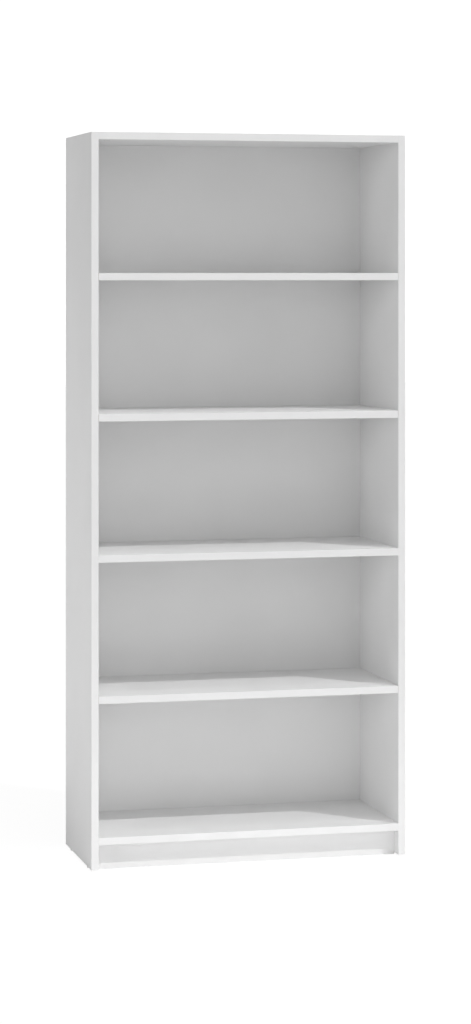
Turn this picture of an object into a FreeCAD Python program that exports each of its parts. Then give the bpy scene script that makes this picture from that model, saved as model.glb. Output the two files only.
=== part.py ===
import FreeCAD, Part
import math
import os

from FreeCAD import Vector

# A free-standing open bookcase of melamine-faced board, put together with cam fittings and dowels.
# Millimetres, with +X to the right, +Y towards the wall and +Z up. The origin is on the floor, under the
# middle of the case. Five equal bays: one shelf is fixed, and the other three slide in over hidden wires.
# The plinth reaches the floor, and the sides stand clear of it on their glides.

# ---- Driving dimensions ----
WIDTH = 800.0
SIDE_HEIGHT = 1800.0
DEPTH = 340.0
BOARD = 18.0
BAYS = 5
PLINTH_HEIGHT = 65.0  # floor to the underside of the bottom panel
PLINTH_SETBACK = 35.0
EDGE_BAND = 1.0
EDGE_BAND_ROUND = 0.7

# Back: two hardboard sheets nailed on from behind, joined by an H-shaped strip
SHEET = 3.0
SHEET_INSET = 2.0  # sheet edge to the outside of the case
STRIP_FLANGE = 0.8
STRIP_WEB = 1.0
STRIP_HEIGHT = 14.0
STRIP_PLAY = 0.3  # sheet edge to web

# Loose shelves
SHELF_END_PLAY = 0.5
SHELF_SETBACK = 0.5
SHELF_BACK_PLAY = 0.5

# Rows of fittings, counted from the front and from the rear edge of a side
ROW_INSET = 37.0
ROW_PITCH = 32.0

# Cam lock and its bolt
CAM_RADIUS = 7.4
CAM_BORE_RADIUS = 7.5
CAM_BORE_DEPTH = 13.0
CAM_HEIGHT = 12.4
CAM_RECESS = 0.3  # cam face below the board's face
CAM_FROM_END = 34.0
CAM_POCKET_RADIUS = 5.0
CAM_FLOOR = 4.9
CAM_SLOT = 4.6
CROSS_LENGTH = 7.0
CROSS_WIDTH = 1.8
CROSS_DEPTH = 2.6
CROSS_PLAY = 0.3
CAP_RADIUS = 8.6
CAP_THICKNESS = 0.8
CAP_PLUG = 2.0
BOLT_BORE_RADIUS = 4.0
BOLT_THREAD = 11.0
BOLT_THREAD_PITCH = 2.2
BOLT_CREST_RADIUS = 3.0
BOLT_ROOT_RADIUS = 2.1
BOLT_COLLAR = 1.5
BOLT_COLLAR_RADIUS = 3.8
BOLT_SHANK_END = 26.0
BOLT_NECK_RADIUS = 2.0
BOLT_NECK_END = 31.0
BOLT_END = 35.5
BOLT_HEAD_RADIUS = 3.3

# Dowels
DOWEL_RADIUS = 4.0
DOWEL_LENGTH = 30.0
DOWEL_IN_FACE = 10.0  # length held in the board whose face is drilled
DOWEL_CHAMFER = 1.0
DOWEL_FLUTES = 8
FLUTE_RADIUS = 0.5
DOWEL_HOLE_PLAY = 1.0  # hole deeper than the dowel
PLINTH_DOWEL_HEIGHTS = (21.0, 46.0)
PLINTH_TOP_DOWEL_SPREAD = 150.0

# Shelf wires: a steel wire bent into both rows of holes in a side, which a groove in the shelf's end takes
WIRE_RADIUS = 1.5
WIRE_STANDOFF = 6.5  # wire's axis to the side
WIRE_IN_SIDE = 9.0
WIRE_BEND_RADIUS = 4.5
WIRE_HOLE_PLAY = 1.0  # hole deeper than the wire
GROOVE_DEPTH = 10.0  # from the end of the shelf
GROOVE_PLAY = 0.3  # above and below the wire
GROOVE_STOP = 15.0  # groove's closed front end to the front of the shelf

# Nails that hold the back, and the nail-on glides under the sides
NAIL_RADIUS = 0.8
NAIL_LENGTH = 20.0
NAIL_HEAD_RADIUS = 2.2
NAIL_HEAD = 0.8
NAIL_TIP = 2.0
NAIL_SPACING = 150.0
NAIL_FROM_SHEET_END = 22.0
GLIDE_HEIGHT = 5.0
GLIDE_RADIUS = 8.0
GLIDE_CHAMFER = 1.0
GLIDE_INSET = 60.0
GLIDE_NAIL_RADIUS = 0.9
GLIDE_NAIL_LENGTH = 16.0
GLIDE_NAIL_HEAD_RADIUS = 2.6
GLIDE_NAIL_HEAD = 0.8
GLIDE_NAIL_SUNK = 1.5  # nail head above the floor

# ---- Worked out from them ----
HEIGHT = GLIDE_HEIGHT + SIDE_HEIGHT
FRONT = -DEPTH / 2
REAR = DEPTH / 2
SHEET_REAR = REAR - STRIP_FLANGE
CASE_REAR = SHEET_REAR - SHEET  # rear edge of the boards, where the sheets lie
CORE_FRONT = FRONT + EDGE_BAND  # front of a board without its band
INNER = WIDTH / 2 - BOARD  # inner face of a side, from the middle
SIDE_MIDDLE = WIDTH / 2 - BOARD / 2
BAY_CLEAR = (HEIGHT - PLINTH_HEIGHT - (BAYS + 1) * BOARD) / BAYS
FRONT_ROW = FRONT + ROW_INSET
REAR_ROW = CASE_REAR - ROW_INSET
DOWEL_ROWS = (FRONT_ROW, REAR_ROW)
WIRE_ROWS = (FRONT_ROW, REAR_ROW)
CAM_ROWS = (FRONT_ROW + ROW_PITCH, REAR_ROW - ROW_PITCH)
GLIDE_ROWS = (FRONT + GLIDE_INSET, CASE_REAR - GLIDE_INSET)
PLINTH_FRONT = FRONT + PLINTH_SETBACK
PLINTH_MIDDLE = PLINTH_FRONT + BOARD / 2
ENDS = (-1, 1)  # left and right


def underside(level):
    """Height of a horizontal board's underside: level 0 is the bottom panel, level BAYS the top."""
    return PLINTH_HEIGHT + level * (BOARD + BAY_CLEAR)


FIXED_LEVELS = {"bottom": 0, "fixed_shelf": 2, "top": BAYS}
LOOSE_LEVELS = {"lower_shelf": 1, "middle_shelf": 3, "upper_shelf": 4}
CAPPED = ("fixed_shelf", "top")  # their cams would be seen from below
STRIP_MIDDLE = underside(FIXED_LEVELS["fixed_shelf"]) + BOARD / 2

ORIGIN = Vector(0, 0, 0)
ALONG_X = Vector(1, 0, 0)
ALONG_Y = Vector(0, 1, 0)
UP = Vector(0, 0, 1)


# ---- Shapes and files ----
def box(x_range, y_range, z_range):
    corner = Vector(x_range[0], y_range[0], z_range[0])
    size = [end - start for start, end in (x_range, y_range, z_range)]
    return Part.makeBox(*size, corner)


def rod(radius, start, step):
    """A cylinder from a point, along a vector as long as the cylinder."""
    return Part.makeCylinder(radius, step.Length, start, step)


def joined(shapes):
    return shapes[0].fuse(shapes[1:]).removeSplitter()


def drilled(board, holes):
    return board.cut(holes)


def turned_profile(points, axis):
    """A solid turned about an axis through the origin from its (along, radius) outline."""
    across = UP if axis is not UP else ALONG_X
    path = [axis * along + across * radius for along, radius in points]
    outline = Part.makePolygon([axis * points[0][0], *path, axis * points[-1][0], axis * points[0][0]])
    return Part.Face(outline).revolve(ORIGIN, axis, 360)


def placed(shape, point, end=-1):
    """A copy at a point. A fitting is drawn for the left side and turned round for the right one."""
    copy = shape.copy()
    if end > 0:
        copy.rotate(ORIGIN, UP, 180)
    copy.translate(point)
    return copy


def save(name, solids):
    shape = solids[0] if len(solids) == 1 else Part.makeCompound(solids)
    if any(not solid.isValid() for solid in shape.Solids):
        raise ValueError(name + " is not valid")
    shape.exportStep(os.path.join("parts", name + ".step"))


# ---- Places of the fittings ----
def end_places(rows, height):
    """Each end of a board and each row: (end, point on the side's inner face)."""
    return [(end, Vector(end * INNER, row, height)) for end in ENDS for row in rows]


def nail_heights(low, high):
    """Evenly spaced places along one sheet's edge."""
    first = low + NAIL_FROM_SHEET_END
    last = high - NAIL_FROM_SHEET_END
    gaps = math.ceil((last - first) / NAIL_SPACING)
    return [first + (last - first) * number / gaps for number in range(gaps + 1)]


SHEETS = {
    "back_sheet_lower": (PLINTH_HEIGHT + SHEET_INSET, STRIP_MIDDLE - STRIP_WEB / 2 - STRIP_PLAY),
    "back_sheet_upper": (STRIP_MIDDLE + STRIP_WEB / 2 + STRIP_PLAY, HEIGHT - SHEET_INSET),
}


def nail_places():
    """(x, z) of the back's nails: up both sides, and along the top and bottom panels."""
    places = []
    for low, high in SHEETS.values():
        places += [(end * SIDE_MIDDLE, height) for end in ENDS for height in nail_heights(low, high)]
    across = nail_heights(-INNER, INNER)
    for level in ("bottom", "top"):
        height = underside(FIXED_LEVELS[level]) + BOARD / 2
        places += [(x, height) for x in across]
    return places


def glide_places():
    return [Vector(end * SIDE_MIDDLE, row, 0) for end in ENDS for row in GLIDE_ROWS]


# ---- Holes ----
def nail_holes():
    depth = Vector(0, SHEET - NAIL_LENGTH, 0)
    return [rod(NAIL_RADIUS, Vector(x, CASE_REAR, z), depth) for x, z in nail_places()]


def sheet_holes():
    holes = []
    for x, z in nail_places():
        holes.append(rod(NAIL_RADIUS, Vector(x, CASE_REAR, z), ALONG_Y * SHEET))
        holes.append(rod(NAIL_HEAD_RADIUS, Vector(x, SHEET_REAR, z), ALONG_Y * -NAIL_HEAD))
    return holes


def side_holes():
    """Everything drilled into the inner faces and the lower edges of the sides."""
    holes = []
    for level in FIXED_LEVELS.values():
        middle = underside(level) + BOARD / 2
        for end, point in end_places(CAM_ROWS, middle):
            holes.append(rod(BOLT_CREST_RADIUS, point, ALONG_X * end * BOLT_THREAD))
        for end, point in end_places(DOWEL_ROWS, middle):
            holes.append(rod(DOWEL_RADIUS, point, ALONG_X * end * (DOWEL_IN_FACE + DOWEL_HOLE_PLAY)))
    for height in PLINTH_DOWEL_HEIGHTS:
        for end, point in end_places((PLINTH_MIDDLE,), height):
            holes.append(rod(DOWEL_RADIUS, point, ALONG_X * end * (DOWEL_IN_FACE + DOWEL_HOLE_PLAY)))
    for level in LOOSE_LEVELS.values():
        for end, point in end_places(WIRE_ROWS, underside(level) + BOARD / 2):
            holes.append(rod(WIRE_RADIUS, point, ALONG_X * end * (WIRE_IN_SIDE + WIRE_HOLE_PLAY)))
    for point in glide_places():
        start = point + UP * GLIDE_HEIGHT
        holes.append(rod(GLIDE_NAIL_RADIUS, start, UP * glide_nail_in_board()))
    return holes


def glide_nail_in_board():
    return GLIDE_NAIL_SUNK + GLIDE_NAIL_LENGTH - GLIDE_HEIGHT


def board_end_holes(level):
    """Cam bores, bolt bores and dowel holes at both ends of a fixed horizontal board."""
    low = underside(level)
    middle = low + BOARD / 2
    holes = []
    for end, point in end_places(CAM_ROWS, middle):
        cam = point - ALONG_X * end * CAM_FROM_END
        holes.append(rod(BOLT_BORE_RADIUS, point, ALONG_X * -end * CAM_FROM_END))
        holes.append(rod(CAM_BORE_RADIUS, Vector(cam.x, cam.y, low), UP * CAM_BORE_DEPTH))
    in_end = DOWEL_LENGTH - DOWEL_IN_FACE + DOWEL_HOLE_PLAY
    for end, point in end_places(DOWEL_ROWS, middle):
        holes.append(rod(DOWEL_RADIUS, point, ALONG_X * -end * in_end))
    return holes


def plinth_top_dowel_feet():
    """The lower ends of the two upright dowels between the plinth and the bottom panel."""
    foot = PLINTH_HEIGHT + DOWEL_IN_FACE - DOWEL_LENGTH
    return [Vector(end * PLINTH_TOP_DOWEL_SPREAD, PLINTH_MIDDLE, foot) for end in ENDS]


def plinth_top_holes():
    """Round the upright dowels, in the plinth and in the bottom panel."""
    length = DOWEL_LENGTH + DOWEL_HOLE_PLAY
    return [rod(DOWEL_RADIUS, foot - UP * DOWEL_HOLE_PLAY, UP * length) for foot in plinth_top_dowel_feet()]


# ---- Boards and their edge bands ----
def edge_band(x_range, y_range, z_range, outward):
    """A strip with its two long outer edges rounded over."""
    strip = box(x_range, y_range, z_range)
    outer = max(vertex.Point.dot(outward) for vertex in strip.Vertexes)
    edges = []
    for edge in strip.Edges:
        on_outer_face = all(abs(v.Point.dot(outward) - outer) < EDGE_BAND / 2 for v in edge.Vertexes)
        if on_outer_face and edge.Length > BOARD:
            edges.append(edge)
    return strip.makeFillet(EDGE_BAND_ROUND, edges)


def save_sides():
    holes = side_holes() + nail_holes()
    for end, name in zip(ENDS, ("left_side", "right_side")):
        across = sorted((end * INNER, end * WIDTH / 2))
        panel = box(across, (CORE_FRONT, CASE_REAR), (GLIDE_HEIGHT, HEIGHT - EDGE_BAND))
        save(name + "_panel", [drilled(panel, holes)])
        front = edge_band(across, (FRONT, CORE_FRONT), (GLIDE_HEIGHT, HEIGHT), ALONG_Y * -1)
        save(name + "_front_edge_band", [front])
        top = edge_band(across, (CORE_FRONT, CASE_REAR), (HEIGHT - EDGE_BAND, HEIGHT), UP)
        save(name + "_top_edge_band", [top])


def save_fixed_boards():
    holes = nail_holes() + plinth_top_holes()
    for name, level in FIXED_LEVELS.items():
        thickness = (underside(level), underside(level) + BOARD)
        rear = CASE_REAR - (STRIP_FLANGE if name == "fixed_shelf" else 0)
        board = box((-INNER, INNER), (CORE_FRONT, rear), thickness)
        board = drilled(board, holes + board_end_holes(level))
        save(name + "_board", [board])
        band = edge_band((-INNER, INNER), (FRONT, CORE_FRONT), thickness, ALONG_Y * -1)
        save(name + "_edge_band", [band])


def save_loose_shelves():
    half = INNER - SHELF_END_PLAY
    front = FRONT + SHELF_SETBACK
    core_front = front + EDGE_BAND
    rear = CASE_REAR - SHELF_BACK_PLAY
    for name, level in LOOSE_LEVELS.items():
        thickness = (underside(level), underside(level) + BOARD)
        board = box((-half, half), (core_front, rear), thickness)
        middle = underside(level) + BOARD / 2
        groove_height = (middle - WIRE_RADIUS - GROOVE_PLAY, middle + WIRE_RADIUS + GROOVE_PLAY)
        grooves = []
        for end in ENDS:
            across = sorted((end * (half - GROOVE_DEPTH), end * half))
            grooves.append(box(across, (front + GROOVE_STOP, rear), groove_height))
        save(name + "_board", [drilled(board, grooves)])
        band = edge_band((-half, half), (front, core_front), thickness, ALONG_Y * -1)
        save(name + "_edge_band", [band])


def save_plinth():
    across = (-INNER, INNER)
    plinth = box(across, (PLINTH_FRONT, PLINTH_FRONT + BOARD), (0, PLINTH_HEIGHT))
    in_end = DOWEL_LENGTH - DOWEL_IN_FACE + DOWEL_HOLE_PLAY
    holes = plinth_top_holes()
    for height in PLINTH_DOWEL_HEIGHTS:
        for end, point in end_places((PLINTH_MIDDLE,), height):
            holes.append(rod(DOWEL_RADIUS, point, ALONG_X * -end * in_end))
    save("plinth_board", [drilled(plinth, holes)])


# ---- Back ----
def save_back():
    half = WIDTH / 2 - SHEET_INSET
    holes = sheet_holes()
    for name, (low, high) in SHEETS.items():
        sheet = box((-half, half), (CASE_REAR, SHEET_REAR), (low, high))
        save(name, [drilled(sheet, holes)])
    save("back_joining_strip", [joining_strip()])
    save("back_nails", [back_nail(x, z) for x, z in nail_places()])


def joining_strip():
    """An H lying on its side: two flanges over the faces of the sheets, and a web between their edges."""
    length = (-INNER + SHELF_END_PLAY, INNER - SHELF_END_PLAY)
    flange_height = (STRIP_MIDDLE - STRIP_HEIGHT / 2, STRIP_MIDDLE + STRIP_HEIGHT / 2)
    web_height = (STRIP_MIDDLE - STRIP_WEB / 2, STRIP_MIDDLE + STRIP_WEB / 2)
    front_flange = box(length, (CASE_REAR - STRIP_FLANGE, CASE_REAR), flange_height)
    web = box(length, (CASE_REAR, SHEET_REAR), web_height)
    rear_flange = box(length, (SHEET_REAR, REAR), flange_height)
    return joined([front_flange, web, rear_flange])


def back_nail(x, z):
    outline = [
        (0, NAIL_HEAD_RADIUS),
        (NAIL_HEAD, NAIL_HEAD_RADIUS),
        (NAIL_HEAD, NAIL_RADIUS),
        (NAIL_LENGTH - NAIL_TIP, NAIL_RADIUS),
        (NAIL_LENGTH, 0),
    ]
    nail = turned_profile([(-along, radius) for along, radius in outline], ALONG_Y)
    return placed(nail, Vector(x, SHEET_REAR, z))


# ---- Cam fittings, dowels and shelf wires ----
def cam_lock():
    """Axis along Z, lower face at the origin. The bolt comes in from -X and its head sits in the pocket."""
    body = rod(CAM_RADIUS, ORIGIN, UP * CAM_HEIGHT)
    pocket = rod(CAM_POCKET_RADIUS, UP * CAM_FLOOR, UP * (CAM_HEIGHT - CAM_FLOOR))
    axis_height = BOARD / 2 - CAM_RECESS
    half_slot = CAM_SLOT / 2
    slot = box((-CAM_RADIUS, 0), (-half_slot, half_slot), (axis_height - half_slot, CAM_HEIGHT))
    return drilled(body, [pocket, slot, *cross(CROSS_LENGTH, CROSS_WIDTH, CROSS_DEPTH)])


def cross(length, width, depth):
    """The two bars of a cross-head recess, or of the plug that fits it, rising from the origin."""
    long_way = (-length / 2, length / 2)
    short_way = (-width / 2, width / 2)
    return [box(long_way, short_way, (0, depth)), box(short_way, long_way, (0, depth))]


def cam_bolt():
    """Axis along X, with x = 0 at the side's inner face, thread in the side and head in the cam."""
    outline = [(-BOLT_THREAD, BOLT_ROOT_RADIUS)]
    turns = int(BOLT_THREAD / BOLT_THREAD_PITCH)
    for turn in range(turns):
        start = -BOLT_THREAD + turn * BOLT_THREAD_PITCH
        outline.append((start + BOLT_THREAD_PITCH / 2, BOLT_CREST_RADIUS))
        outline.append((start + BOLT_THREAD_PITCH, BOLT_ROOT_RADIUS))
    head = BOLT_END - BOLT_NECK_END
    outline += [
        (0, BOLT_COLLAR_RADIUS),
        (BOLT_COLLAR, BOLT_COLLAR_RADIUS),
        (BOLT_COLLAR, BOLT_CREST_RADIUS),
        (BOLT_SHANK_END, BOLT_CREST_RADIUS),
        (BOLT_SHANK_END, BOLT_NECK_RADIUS),
        (BOLT_NECK_END, BOLT_NECK_RADIUS),
        (BOLT_NECK_END + head / 3, BOLT_HEAD_RADIUS),
        (BOLT_END - head / 3, BOLT_HEAD_RADIUS),
        (BOLT_END, BOLT_NECK_RADIUS),
    ]
    return turned_profile(outline, ALONG_X)


def cam_cap():
    """A thin disc under the board, with a plug in the cam's cross recess. z = 0 is the board's face."""
    disc = rod(CAP_RADIUS, UP * -CAP_THICKNESS, UP * CAP_THICKNESS)
    rim = [edge for edge in disc.Edges if abs(edge.BoundBox.ZMax + CAP_THICKNESS) < CROSS_PLAY]
    disc = disc.makeFillet(CAP_THICKNESS / 2, rim)
    bars = cross(CROSS_LENGTH - CROSS_PLAY * 2, CROSS_WIDTH - CROSS_PLAY * 2, CAP_PLUG)
    return joined([disc, *bars])


def dowel(axis):
    """A fluted, chamfered dowel from the origin along an axis."""
    body = rod(DOWEL_RADIUS, ORIGIN, UP * DOWEL_LENGTH)
    rims = [edge for edge in body.Edges if len(edge.Vertexes) == 1]
    body = body.makeChamfer(DOWEL_CHAMFER, rims)
    flutes = []
    for number in range(DOWEL_FLUTES):
        angle = 2 * math.pi * number / DOWEL_FLUTES
        start = Vector(math.cos(angle), math.sin(angle), 0) * DOWEL_RADIUS
        flutes.append(rod(FLUTE_RADIUS, start, UP * DOWEL_LENGTH))
    body = drilled(body, flutes)
    if axis is ALONG_X:
        body.rotate(ORIGIN, ALONG_Y, 90)
    return body


def shelf_wire():
    """Bent from one wire: a leg into the side, a run along Y from the origin's row to the other, a leg back."""
    length = WIRE_ROWS[1] - WIRE_ROWS[0]
    across = WIRE_STANDOFF - WIRE_BEND_RADIUS
    first = corner_arc(Vector(across, 0, 0), ALONG_X, ALONG_Y)
    second = corner_arc(Vector(WIRE_STANDOFF, length - WIRE_BEND_RADIUS, 0), ALONG_Y, ALONG_X * -1)
    leg_in = Part.LineSegment(Vector(-WIRE_IN_SIDE, 0, 0), Vector(across, 0, 0))
    run = Part.LineSegment(first.EndPoint, second.StartPoint)
    leg_out = Part.LineSegment(second.EndPoint, Vector(-WIRE_IN_SIDE, length, 0))
    path = Part.Wire([piece.toShape() for piece in (leg_in, first, run, second, leg_out)])
    section = Part.Wire(Part.makeCircle(WIRE_RADIUS, Vector(-WIRE_IN_SIDE, 0, 0), ALONG_X))
    return path.makePipeShell([section], True, True)


def corner_arc(start, before, after):
    """A quarter circle from a point, turning from one direction to another at right angles."""
    centre = start + after * WIRE_BEND_RADIUS
    middle = centre + (before - after) * (WIRE_BEND_RADIUS / math.sqrt(2))
    return Part.Arc(start, middle, centre + before * WIRE_BEND_RADIUS)


def save_end_fittings():
    lock = cam_lock()
    bolt = cam_bolt()
    cap = cam_cap()
    pin = dowel(ALONG_X)
    for name, level in FIXED_LEVELS.items():
        low = underside(level)
        middle = low + BOARD / 2
        cam_ends = end_places(CAM_ROWS, middle)
        bolts = [placed(bolt, point, end) for end, point in cam_ends]
        save(name + "_cam_bolts", bolts)
        faces = [(end, Vector(end * (INNER - CAM_FROM_END), point.y, low)) for end, point in cam_ends]
        save(name + "_cam_locks", [placed(lock, point + UP * CAM_RECESS, end) for end, point in faces])
        if name in CAPPED:
            save(name + "_cam_caps", [placed(cap, point, end) for end, point in faces])
        dowel_ends = end_places(DOWEL_ROWS, middle)
        save(name + "_dowels", [end_dowel(pin, point, end) for end, point in dowel_ends])


def end_dowel(pin, point, end):
    """A dowel across the joint between a side and the end of a board."""
    return placed(pin, point + ALONG_X * end * DOWEL_IN_FACE, end)


def save_plinth_dowels():
    pin = dowel(ALONG_X)
    dowels = []
    for height in PLINTH_DOWEL_HEIGHTS:
        for end, point in end_places((PLINTH_MIDDLE,), height):
            dowels.append(end_dowel(pin, point, end))
    upright = dowel(UP)
    dowels += [placed(upright, foot) for foot in plinth_top_dowel_feet()]
    save("plinth_dowels", dowels)


def save_shelf_wires():
    wire = shelf_wire()
    mirrored = wire.mirror(ORIGIN, ALONG_X)
    for name, level in LOOSE_LEVELS.items():
        middle = underside(level) + BOARD / 2
        left = placed(wire, Vector(-INNER, WIRE_ROWS[0], middle))
        right = placed(mirrored, Vector(INNER, WIRE_ROWS[0], middle))
        save(name + "_wires", [left, right])


# ---- Glides ----
def save_glides():
    disc = rod(GLIDE_RADIUS, ORIGIN, UP * GLIDE_HEIGHT)
    rim = [edge for edge in disc.Edges if edge.BoundBox.ZMax < GLIDE_HEIGHT / 2]
    disc = disc.makeChamfer(GLIDE_CHAMFER, rim)
    sink = rod(GLIDE_NAIL_HEAD_RADIUS, ORIGIN, UP * (GLIDE_NAIL_SUNK + GLIDE_NAIL_HEAD))
    hole = rod(GLIDE_NAIL_RADIUS, ORIGIN, UP * GLIDE_HEIGHT)
    glide = drilled(disc, [sink, hole])
    save("side_glides", [placed(glide, point) for point in glide_places()])

    top = GLIDE_NAIL_SUNK + GLIDE_NAIL_LENGTH
    shoulder = GLIDE_NAIL_SUNK + GLIDE_NAIL_HEAD
    outline = [
        (GLIDE_NAIL_SUNK, GLIDE_NAIL_HEAD_RADIUS),
        (shoulder, GLIDE_NAIL_HEAD_RADIUS),
        (shoulder, GLIDE_NAIL_RADIUS),
        (top - NAIL_TIP, GLIDE_NAIL_RADIUS),
        (top, 0),
    ]
    nail = turned_profile(outline, UP)
    save("glide_nails", [placed(nail, point) for point in glide_places()])


os.makedirs("parts", exist_ok=True)
save_sides()
save_fixed_boards()
save_loose_shelves()
save_plinth()
save_back()
save_end_fittings()
save_plinth_dowels()
save_shelf_wires()
save_glides()
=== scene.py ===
import math

import bpy
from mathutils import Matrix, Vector


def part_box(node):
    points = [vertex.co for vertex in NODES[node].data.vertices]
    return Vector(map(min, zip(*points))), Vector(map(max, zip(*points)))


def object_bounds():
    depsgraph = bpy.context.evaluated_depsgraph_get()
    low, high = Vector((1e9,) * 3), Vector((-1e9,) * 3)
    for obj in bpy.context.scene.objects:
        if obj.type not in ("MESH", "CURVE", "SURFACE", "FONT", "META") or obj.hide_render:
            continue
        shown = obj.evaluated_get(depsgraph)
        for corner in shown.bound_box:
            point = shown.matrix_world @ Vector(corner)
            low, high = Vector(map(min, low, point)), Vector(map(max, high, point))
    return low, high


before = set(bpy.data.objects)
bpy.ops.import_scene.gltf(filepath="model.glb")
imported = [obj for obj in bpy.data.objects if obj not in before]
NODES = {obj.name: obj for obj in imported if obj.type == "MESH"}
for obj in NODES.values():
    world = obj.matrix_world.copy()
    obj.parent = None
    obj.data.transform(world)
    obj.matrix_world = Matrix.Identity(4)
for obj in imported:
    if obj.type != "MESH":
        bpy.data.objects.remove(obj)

# Looks for a white open bookcase: melamine-faced boards, their edge bands, a hardboard back and the fittings
# inside. Metres. The case stands on the floor at z = 0 with its open front towards -Y.

CAD_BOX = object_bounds()
LOW, HIGH = CAD_BOX
FRONT = LOW.y
MM = 0.001
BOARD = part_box("top_board")[1].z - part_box("top_board")[0].z

# ---- Camera: level, left of the middle, with its frame shifted down to take in the whole case ----
CAMERA_DISTANCE = 7.0429  # to the front of the case, along the view
CAMERA_OFF_AXIS = 0.0370  # middle of the front, right of the view's axis
CAMERA_TURN = math.radians(14.076)
EYE_HEIGHT = 1.4559
LEVEL = math.radians(90)
LENS = 100.24
SENSOR = 36.0
SHIFT_DOWN = -0.2315

# ---- Stage ----
FLOOR_SIZE = 60.0
DOME_RADIUS = 80.0
DOME_SEGMENTS = 48
WHITE_GLOW = 1.1  # just past pure white
VEIL_HEIGHT = 0.2 * MM  # above the floor
VEIL_CLEARNESS = 0.15  # share of the floor that shows through
FLOOR_COLOUR = 0.89

# Sun lamps: where the light comes from (right, front, up), strength, and how wide the source looks in degrees
SUNS = {
    "key": ((0.443, 0.509, 0.738), 1.1, 0.8),
    "steep": ((-0.25, 0.225, 0.95), 0.195, 6),
    "front_high": ((0, 0.423, 0.906), 0.7, 40),
    "front_middle": ((0, 0.819, 0.574), 0.18, 40),
    "front_low": ((0, 0.990, 0.139), 0.33, 40),
    "front_low_right": ((0.568, 0.811, 0.139), 0.32, 40),
    "left": ((-0.9, 0.43, 0.1), 0.52, 20),
    "rear": ((0.4, -0.9, 0.14), 0.4, 30),
}
# Soft boxes and low cards: place, the point each faces, width, height, power
BOXES = {
    "left_rear_box": ((-3, 1.5, 1.0), (0, 0, 1.0), 2.0, 2.0, 24.5),
    "front_card": ((0, -2.2, 0.01), (0, -2.2, 1), 2.0, 1.2, 4.0),
    "left_card": ((-1.3, 0.3, 0.01), (-1.3, 0.3, 1), 1.2, 1.4, 1.8),
    "low_card": ((0, -1.0, 0.012), (0, -0.8, 0.212), 1.4, 0.4, 0.5),
    "toe_card": ((0, -0.5, 0.012), (0, -0.3, 0.2), 1.3, 0.2, 0.8),
}


# ---- Node helpers ----
MIX_FIRST, MIX_SECOND, MIX_RESULT = 6, 7, 2  # colour sockets of the Mix node


class Recipe:
    """A node material built by short calls. Coordinates are the object's own, in metres."""

    def __init__(self, name):
        self.material = bpy.data.materials.new(name)
        self.material.use_nodes = True
        self.tree = self.material.node_tree
        self.shader = self.tree.nodes["Principled BSDF"]
        self.coordinates = self.tree.nodes.new("ShaderNodeTexCoord")

    def add(self, kind, inputs=None, **settings):
        made = self.tree.nodes.new("ShaderNode" + kind)
        for name, value in settings.items():
            setattr(made, name, value)
        for name, value in (inputs or {}).items():
            self.put(made.inputs[name], value)
        return made

    def put(self, socket, value):
        if isinstance(value, bpy.types.NodeSocket):
            self.tree.links.new(value, socket)
        else:
            socket.default_value = value

    def math(self, operation, first, second=0.0, clamp=False):
        made = self.add("Math", {0: first, 1: second}, operation=operation)
        made.use_clamp = clamp
        return made.outputs[0]

    def scaled(self, scale):
        """The object's coordinates, stretched by (x, y, z) factors."""
        source = {"Vector": self.coordinates.outputs["Object"], "Scale": scale}
        return self.add("Mapping", source).outputs["Vector"]

    def noise(self, scale, detail=2.0, roughness=0.5, stretch=(1, 1, 1)):
        settings = {"Vector": self.scaled(stretch), "Scale": scale, "Detail": detail, "Roughness": roughness}
        return self.add("TexNoise", settings).outputs["Fac"]

    def ramp(self, value, low, high):
        """The value from low to high, as 0 to 1."""
        inputs = {"Value": value, "From Min": low, "From Max": high}
        return self.add("MapRange", inputs, clamp=True).outputs["Result"]

    def between(self, factor, first, second):
        """A colour from first to second."""
        made = self.add("Mix", data_type="RGBA")
        self.put(made.inputs["Factor"], factor)
        self.put(made.inputs[MIX_FIRST], first)
        self.put(made.inputs[MIX_SECOND], second)
        return made.outputs[MIX_RESULT]

    def mixed(self, factor, first, second):
        """A number from first to second."""
        inputs = {"Value": factor, "To Min": first, "To Max": second}
        return self.add("MapRange", inputs).outputs["Result"]

    def place(self, axis):
        """How far along an axis."""
        split = self.add("SeparateXYZ", {0: self.coordinates.outputs["Object"]})
        return split.outputs[axis]

    def white(self):
        """White with a faint large cloudiness."""
        return self.between(self.ramp(self.noise(5), 0.35, 0.65), WHITE_DARK, WHITE_LIGHT)

    def screen(self, axis):
        """Low ridges, one SCREEN_PITCH apart across an axis."""
        inputs = {"Vector": self.coordinates.outputs["Object"], "Scale": WAVE_LENGTH / SCREEN_PITCH}
        return self.add("TexWave", inputs, bands_direction=axis, wave_profile="SIN").outputs["Fac"]

    def bump(self, height, distance, strength=1.0):
        inputs = {"Height": height, "Distance": distance, "Strength": strength}
        self.put(self.shader.inputs["Normal"], self.add("Bump", inputs).outputs["Normal"])

    def surface(self, colour, roughness, **fixed):
        self.put(self.shader.inputs["Base Color"], colour)
        self.put(self.shader.inputs["Roughness"], roughness)
        for name, value in fixed.items():
            self.shader.inputs[name.replace("_", " ")].default_value = value
        return self.material


def grey(value, alpha=1.0):
    return (value, value, value, alpha)


# ---- Materials ----
WHITE_LIGHT = grey(0.88)
WHITE_DARK = grey(0.86)
STRAW = (0.66, 0.49, 0.31, 1)
CHIP = (0.42, 0.28, 0.16, 1)
FIBRE_LIGHT = (0.36, 0.23, 0.14, 1)
FIBRE_DARK = (0.2, 0.12, 0.065, 1)
PAPER = 0.18 * MM  # depth of the white face
SCREEN_PITCH = 7.54 * MM  # between the ridges; coarser than the print on real board
WAVE_LENGTH = math.pi / 10  # of the wave texture at a scale of 1


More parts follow.
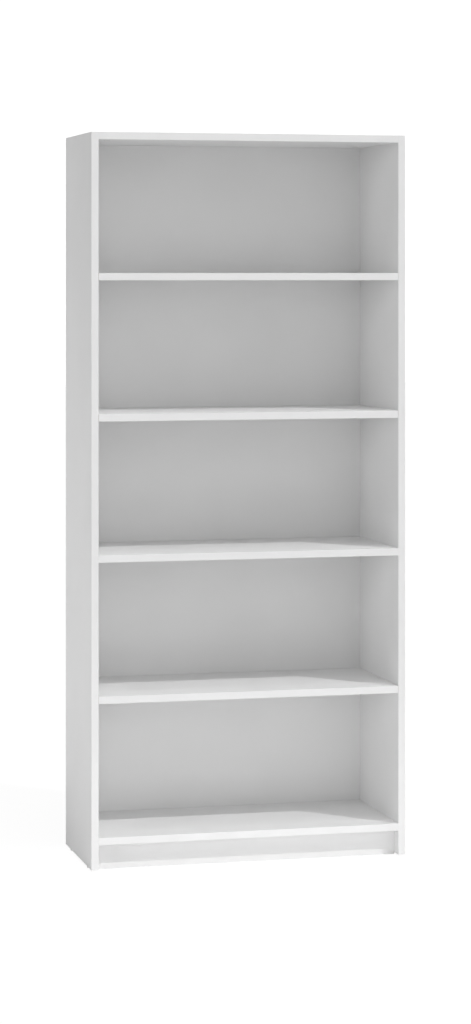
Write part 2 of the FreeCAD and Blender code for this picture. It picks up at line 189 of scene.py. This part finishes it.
def melamine(name, thickness_axis):
    """White paper faces with a fine pearl, and bare chipboard wherever the board was cut or drilled."""
    recipe = Recipe(name)
    through = recipe.add("SeparateXYZ", {0: recipe.coordinates.outputs["Generated"]}).outputs[thickness_axis]
    from_middle = recipe.math("ABSOLUTE", recipe.math("SUBTRACT", through, 0.5))
    is_face = recipe.math("GREATER_THAN", from_middle, 0.5 - PAPER / BOARD)
    pearl = recipe.noise(1000, detail=3)
    chips = recipe.add("TexVoronoi", {"Vector": recipe.coordinates.outputs["Object"], "Scale": 420.0})
    grain = recipe.noise(1500, detail=4)
    core = recipe.between(recipe.ramp(chips.outputs["Color"], 0.2, 0.8), STRAW, CHIP)
    colour = recipe.between(is_face, core, recipe.white())
    face_roughness = recipe.mixed(recipe.noise(60), 0.42, 0.5)
    roughness = recipe.math("MAXIMUM", face_roughness, recipe.mixed(is_face, 0.9, 0.0))
    height = recipe.between(is_face, grain, recipe.math("MULTIPLY", pearl, 0.12))
    recipe.bump(height, 0.15 * MM)
    return recipe.surface(colour, roughness)


def edge_band(name, axis, seam):
    """Smooth plastic strip, with a hair of darker glue where it meets the board."""
    recipe = Recipe(name)
    distance = recipe.math("ABSOLUTE", recipe.math("SUBTRACT", recipe.place(axis), seam))
    glue = recipe.ramp(distance, 0.02 * MM, 0.1 * MM)
    colour = recipe.between(glue, grey(0.6), recipe.white())
    recipe.bump(recipe.noise(700, detail=2), 0.02 * MM)
    return recipe.surface(colour, recipe.mixed(recipe.noise(80), 0.38, 0.46))


def hardboard(name):
    """White lacquer in front, and bare brown fibre with the print of its drying screen behind."""
    recipe = Recipe(name)
    facing = recipe.add("SeparateXYZ", {0: recipe.coordinates.outputs["Normal"]}).outputs["Y"]
    is_front = recipe.math("LESS_THAN", facing, -0.5)
    fibre = recipe.noise(350, detail=6, roughness=0.7)
    blotch = recipe.noise(7, detail=4)
    depth = recipe.math("ADD", recipe.math("MULTIPLY", fibre, 0.7), recipe.math("MULTIPLY", blotch, 0.3))
    brown = recipe.between(recipe.ramp(depth, 0.3, 0.7), FIBRE_DARK, FIBRE_LIGHT)
    colour = recipe.between(is_front, brown, recipe.white())
    warp = recipe.screen("X")
    weft = recipe.screen("Z")
    rough_side = recipe.math("ADD", fibre, recipe.math("MULTIPLY", recipe.math("ADD", warp, weft), 0.2))
    height = recipe.math("MULTIPLY", rough_side, recipe.mixed(is_front, 1.0, 0.05))
    recipe.bump(height, 0.2 * MM)
    return recipe.surface(colour, recipe.mixed(is_front, 0.85, 0.45))


def white_plastic(name):
    recipe = Recipe(name)
    white = recipe.between(recipe.noise(40), grey(0.76), grey(0.8))
    recipe.bump(recipe.noise(1200), 0.02 * MM)
    return recipe.surface(white, recipe.mixed(recipe.noise(100), 0.32, 0.42))


def zinc(name):
    recipe = Recipe(name)
    cast = recipe.noise(600, detail=5)
    colour = recipe.between(cast, grey(0.42), grey(0.6))
    recipe.bump(cast, 0.1 * MM)
    return recipe.surface(colour, recipe.mixed(cast, 0.35, 0.55), Metallic=1.0)


def plated_steel(name):
    recipe = Recipe(name)
    drawn = recipe.noise(300, detail=4, stretch=(1, 0.1, 1))
    colour = recipe.between(drawn, (0.55, 0.56, 0.58, 1), (0.72, 0.73, 0.75, 1))
    recipe.bump(drawn, 0.03 * MM)
    return recipe.surface(colour, recipe.mixed(drawn, 0.22, 0.36), Metallic=1.0)


def beech(name):
    recipe = Recipe(name)
    grain = recipe.noise(250, detail=5, stretch=(0.15, 1, 1))
    fleck = recipe.noise(900, detail=2, stretch=(0.3, 1, 1))
    wood = recipe.between(recipe.ramp(grain, 0.3, 0.7), (0.62, 0.42, 0.25, 1), (0.72, 0.53, 0.34, 1))
    colour = recipe.between(recipe.ramp(fleck, 0.62, 0.7), wood, (0.45, 0.27, 0.14, 1))
    recipe.bump(grain, 0.1 * MM)
    return recipe.surface(colour, recipe.mixed(grain, 0.55, 0.7))


def dress(node, material):
    for slot in NODES[node].material_slots:
        slot.material = material


LOOSE = ("lower_shelf", "middle_shelf", "upper_shelf")
FIXED = ("bottom", "fixed_shelf", "top")
SIDES = ("left_side", "right_side")


def dress_everything():
    upright = melamine("white_board_upright", "X")
    flat = melamine("white_board_flat", "Z")
    facing = melamine("white_board_facing", "Y")
    for side in SIDES:
        dress(side + "_panel", upright)
    for board in LOOSE + FIXED:
        dress(board + "_board", flat)
    dress("plinth_board", facing)

    seams = {}
    for board in LOOSE + FIXED:
        seams[board + "_edge_band"] = "Y"
    for side in SIDES:
        seams[side + "_front_edge_band"] = "Y"
        seams[side + "_top_edge_band"] = "Z"
    for band, axis in seams.items():
        low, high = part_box(band)
        seam = high.y if axis == "Y" else low.z
        dress(band, edge_band(band + "_plastic", axis, seam))

    back = hardboard("white_hardboard")
    dress("back_sheet_lower", back)
    dress("back_sheet_upper", back)
    plastic = white_plastic("white_plastic")
    metal = zinc("zinc_casting")
    steel = plated_steel("plated_steel")
    wood = beech("beech")
    finishes = {
        "_cam_caps": plastic,
        "_strip": plastic,
        "_glides": plastic,
        "_cam_locks": metal,
        "_cam_bolts": steel,
        "_nails": steel,
        "_wires": steel,
        "_dowels": wood,
    }
    for node in NODES:
        for ending, finish in finishes.items():
            if node.endswith(ending):
                dress(node, finish)


# ---- Stage, light and camera ----
def glow(name, strength, see_through=0.0):
    material = bpy.data.materials.new(name)
    material.use_nodes = True
    tree = material.node_tree
    tree.nodes.clear()
    light = tree.nodes.new("ShaderNodeEmission")
    light.inputs["Strength"].default_value = strength
    clear = tree.nodes.new("ShaderNodeBsdfTransparent")
    both = tree.nodes.new("ShaderNodeMixShader")
    both.inputs[0].default_value = see_through
    out = tree.nodes.new("ShaderNodeOutputMaterial")
    tree.links.new(light.outputs[0], both.inputs[1])
    tree.links.new(clear.outputs[0], both.inputs[2])
    tree.links.new(both.outputs[0], out.inputs["Surface"])
    return material


def seen_by_camera_only(thing):
    thing.visible_diffuse = False
    thing.visible_glossy = False
    thing.visible_transmission = False
    thing.visible_volume_scatter = False
    thing.visible_shadow = False


def sheet_of_floor(name, height, material):
    bpy.ops.mesh.primitive_plane_add(size=FLOOR_SIZE, location=(0, 0, height))
    sheet = bpy.context.object
    sheet.name = name
    sheet.data.materials.append(material)
    return sheet


def make_stage():
    """A pale floor that takes light and shadow, a white veil that hides most of it, and white all round."""
    paper = Recipe("floor_paper")
    shade = paper.between(paper.noise(2), grey(FLOOR_COLOUR), grey(FLOOR_COLOUR + 0.01))
    floor = sheet_of_floor("floor", 0, paper.surface(shade, 0.8))
    veil = sheet_of_floor("floor_veil", VEIL_HEIGHT, glow("white_veil", WHITE_GLOW, VEIL_CLEARNESS))
    bpy.ops.mesh.primitive_uv_sphere_add(
        radius=DOME_RADIUS, segments=DOME_SEGMENTS, ring_count=DOME_SEGMENTS // 2
    )
    dome = bpy.context.object
    dome.name = "white_dome"
    dome.data.materials.append(glow("white_background", WHITE_GLOW))
    seen_by_camera_only(veil)
    seen_by_camera_only(dome)


def aimed(lamp, towards_light):
    lamp.rotation_euler = Vector(towards_light).to_track_quat("Z", "Y").to_euler()
    bpy.context.scene.collection.objects.link(lamp)


def make_lights():
    for name, ((right, front, up), strength, width) in SUNS.items():
        sun = bpy.data.lights.new(name, "SUN")
        sun.energy = strength
        sun.angle = math.radians(width)
        aimed(bpy.data.objects.new(name, sun), (right, -front, up))
    for name, (place, aim, width, height, power) in BOXES.items():
        panel = bpy.data.lights.new(name, "AREA")
        panel.shape = "RECTANGLE"
        panel.size = width
        panel.size_y = height
        panel.energy = power
        lamp = bpy.data.objects.new(name, panel)
        lamp.location = place
        lamp.visible_camera = False
        aimed(lamp, Vector(place) - Vector(aim))
    world = bpy.data.worlds.new("dark_surroundings")
    world.use_nodes = True
    world.node_tree.nodes["Background"].inputs["Strength"].default_value = 0.0
    bpy.context.scene.world = world


def make_camera():
    lens = bpy.data.cameras.new("camera")
    lens.lens = LENS
    lens.sensor_width = SENSOR
    lens.shift_y = SHIFT_DOWN
    lens.clip_end = 4 * DOME_RADIUS
    camera = bpy.data.objects.new("camera", lens)
    along = Vector((math.sin(CAMERA_TURN), math.cos(CAMERA_TURN), 0))
    right = Vector((math.cos(CAMERA_TURN), -math.sin(CAMERA_TURN), 0))
    front_middle = Vector(((LOW.x + HIGH.x) / 2, FRONT, 0))
    place = front_middle - right * CAMERA_OFF_AXIS - along * CAMERA_DISTANCE
    camera.location = (place.x, place.y, EYE_HEIGHT)
    camera.rotation_euler = (LEVEL, 0, -CAMERA_TURN)
    bpy.context.scene.collection.objects.link(camera)
    bpy.context.scene.camera = camera


bpy.context.scene.view_settings.view_transform = "Standard"
make_camera()
make_stage()
make_lights()
dress_everything()
